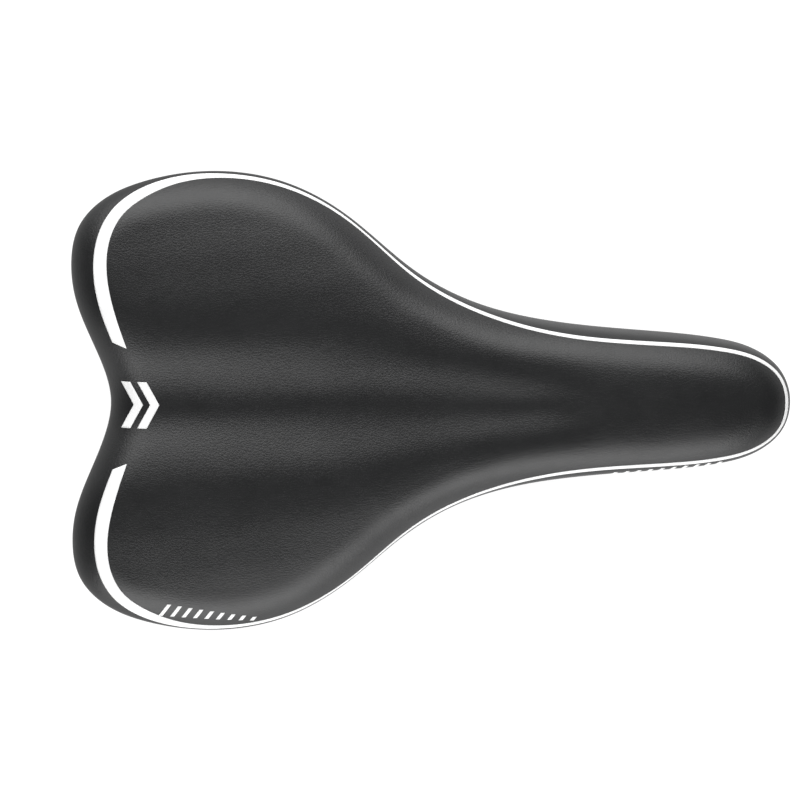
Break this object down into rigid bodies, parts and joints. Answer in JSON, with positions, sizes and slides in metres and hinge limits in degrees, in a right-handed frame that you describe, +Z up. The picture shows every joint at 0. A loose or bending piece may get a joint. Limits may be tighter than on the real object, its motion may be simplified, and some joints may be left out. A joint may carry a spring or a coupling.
{
  "type": "bicycle saddle",
  "caption": "Padded bicycle saddle with a wide winged tail, a pressure-relief channel and a slim nose, carried by a bent steel rail wire.",
  "frame": {"origin": "midway between the two straight stretches of the rail wire, at the height of their axes, halfway along their clamp length", "axes": "+X towards the nose, +Y to the rider's left, +Z up"},
  "size_m": [0.27, 0.1704, 0.0608],
  "materials": {
    "cover_leather": "matt black synthetic leather with a fine grain",
    "white_film": "smooth white film, satin",
    "foam": "open-cell polyurethane foam, dark grey",
    "gel": "soft translucent gel, smooth",
    "shell_plastic": "moulded black nylon, fine texture",
    "rail_steel": "black satin coated steel wire",
    "socket_plastic": "moulded black nylon, satin",
    "screw_steel": "zinc plated steel",
    "staple_steel": "galvanised steel wire"
  },
  "bodies": {
    "root": {"cover": "cover_leather", "border_stripe": "white_film", "tail_emblem": "white_film", "wing_dashes": "white_film", "nose_dashes": "white_film", "foam_pad": "foam", "gel_pad_left": "gel", "gel_pad_right": "gel", "base_shell": "shell_plastic", "rail_wire": "rail_steel", "nose_socket": "socket_plastic", "nose_socket_screw": "screw_steel", "rear_socket_left": "socket_plastic", "rear_socket_right": "socket_plastic", "rear_socket_screws_left": "screw_steel", "rear_socket_screws_right": "screw_steel", "cover_staples": "staple_steel"}
  },
  "joints": []
}
